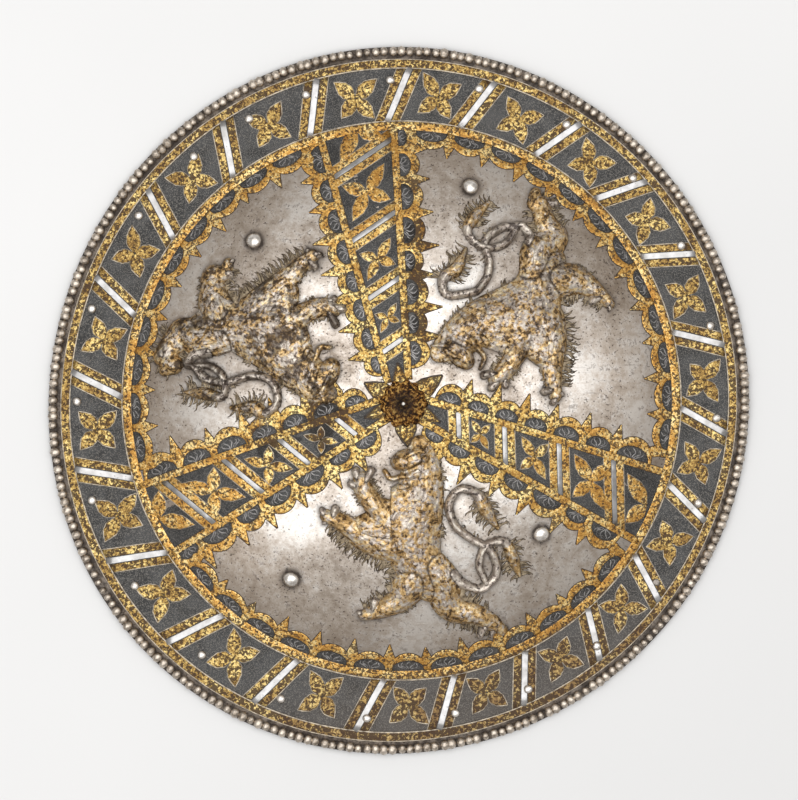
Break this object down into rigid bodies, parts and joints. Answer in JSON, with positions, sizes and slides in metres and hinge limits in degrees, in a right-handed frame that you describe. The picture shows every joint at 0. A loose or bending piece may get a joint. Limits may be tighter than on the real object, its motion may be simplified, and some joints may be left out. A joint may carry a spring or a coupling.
{
  "type": "round buckler shield",
  "caption": "Round domed steel hand shield with a flat border and beaded rim, embossed lions, gilt bands of flowers and scallops, and domed rivets.",
  "frame": {"origin": "middle of the shield, on the level surface that the turned rim lies on", "axes": "+Z out of the shield's face, +Y to the top of the shield as it hangs, +X to its right seen from the front"},
  "size_m": [0.3513, 0.3544, 0.0507],
  "materials": {
    "etched_steel": "worn grey steel, etched, inlaid with silver strips and fire-gilt, the gilding specked and rubbed",
    "rivet_steel": "polished domed rivet heads with dark dirt around them, dull peened tails"
  },
  "bodies": {
    "root": {"shield_plate": "etched_steel", "border_rivet_01": "rivet_steel", "border_rivet_02": "rivet_steel", "border_rivet_03": "rivet_steel", "border_rivet_04": "rivet_steel", "border_rivet_05": "rivet_steel", "border_rivet_06": "rivet_steel", "border_rivet_07": "rivet_steel", "border_rivet_08": "rivet_steel", "border_rivet_09": "rivet_steel", "border_rivet_10": "rivet_steel", "border_rivet_11": "rivet_steel", "border_rivet_12": "rivet_steel", "border_rivet_13": "rivet_steel", "border_rivet_14": "rivet_steel", "border_rivet_15": "rivet_steel", "border_rivet_16": "rivet_steel", "border_rivet_17": "rivet_steel", "border_rivet_18": "rivet_steel", "border_rivet_19": "rivet_steel", "border_rivet_20": "rivet_steel", "border_rivet_21": "rivet_steel", "border_rivet_22": "rivet_steel", "border_rivet_23": "rivet_steel", "field_rivet_1": "rivet_steel", "field_rivet_2": "rivet_steel", "field_rivet_3": "rivet_steel", "field_rivet_4": "rivet_steel"}
  },
  "joints": []
}
